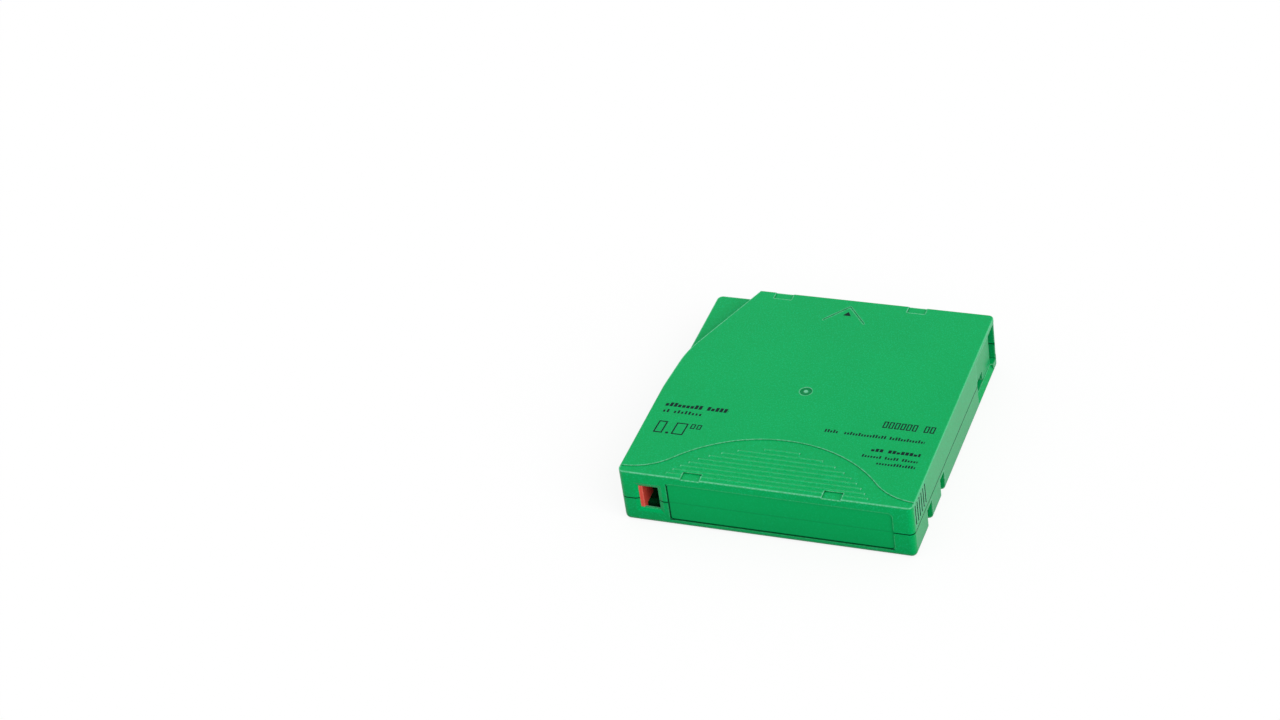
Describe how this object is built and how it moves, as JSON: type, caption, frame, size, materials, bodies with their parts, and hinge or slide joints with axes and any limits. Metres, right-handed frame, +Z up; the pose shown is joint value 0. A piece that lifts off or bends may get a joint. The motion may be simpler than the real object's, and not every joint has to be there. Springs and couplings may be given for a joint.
{
  "type": "data tape cartridge",
  "caption": "Flat square green tape cartridge with a grip field, a sliding side door, a red write protect tab and a toothed reel hub in its base.",
  "frame": {"origin": "middle of the base of the case", "axes": "+X to the right, the side with the door; +Y to the front, the end that enters the drive; +Z up, out of the face with the grip ridges"},
  "size_m": [0.102, 0.1054, 0.0215],
  "materials": {
    "case_green": "fine satin grain, green",
    "screw_steel": "zinc plated",
    "spring_steel": "drawn spring steel",
    "tab_red": "smooth, red",
    "reel_plastic": "smooth, off white",
    "washer_steel": "stamped, plated",
    "tape_film": "dark brown film",
    "pin_steel": "turned, polished",
    "clamp_plastic": "black",
    "brake_plastic": "light grey",
    "board_laminate": "solder mask",
    "chip_resin": "cast black resin",
    "antenna_copper": "etched copper"
  },
  "bodies": {
    "case": {"upper_case": "case_green", "lower_case": "case_green", "case_screws": "screw_steel", "door_spring": "spring_steel", "memory_board": "board_laminate", "memory_chip": "chip_resin", "memory_antenna": "antenna_copper", "tape_leader": "tape_film", "leader_pin": "pin_steel", "pin_clamp": "clamp_plastic", "pin_spring": "spring_steel", "brake_spring": "spring_steel"},
    "door": {"door": "case_green"},
    "write_protect": {"write_protect_tab": "tab_red"},
    "reel": {"reel_hub": "reel_plastic", "upper_flange": "reel_plastic", "hub_washer": "washer_steel", "tape_pack": "tape_film"},
    "brake": {"brake_button": "brake_plastic"},
    "release": {"release_plate": "brake_plastic"}
  },
  "joints": [
    {"name": "door_slide", "type": "slide", "parent": "case", "child": "door", "axis": [0, -1, 0], "range_m": [0, 0.019], "stiffness_N_per_m": 12, "springref_m": -0.02, "deforming": ["door_spring"]},
    {"name": "write_protect_slide", "type": "slide", "parent": "case", "child": "write_protect", "axis": [1, 0, 0], "range_m": [0, 0.005]},
    {"name": "reel_spin", "type": "hinge", "parent": "case", "child": "reel", "pos_m": [-0.0012, -0.0003, 0], "axis": [0, 0, 1], "continuous": true},
    {"name": "brake_lift", "type": "slide", "parent": "case", "child": "brake", "axis": [0, 0, 1], "range_m": [0, 0.0025], "stiffness_N_per_m": 400, "springref_m": -0.004, "deforming": ["brake_spring"]},
    {"name": "release_lift", "type": "slide", "parent": "reel", "child": "release", "axis": [0, 0, 1], "range_m": [0, 0.0025]}
  ],
  "couplings": [
    {"joint": "release_lift", "follows": "brake_lift", "ratio": 1}
  ]
}
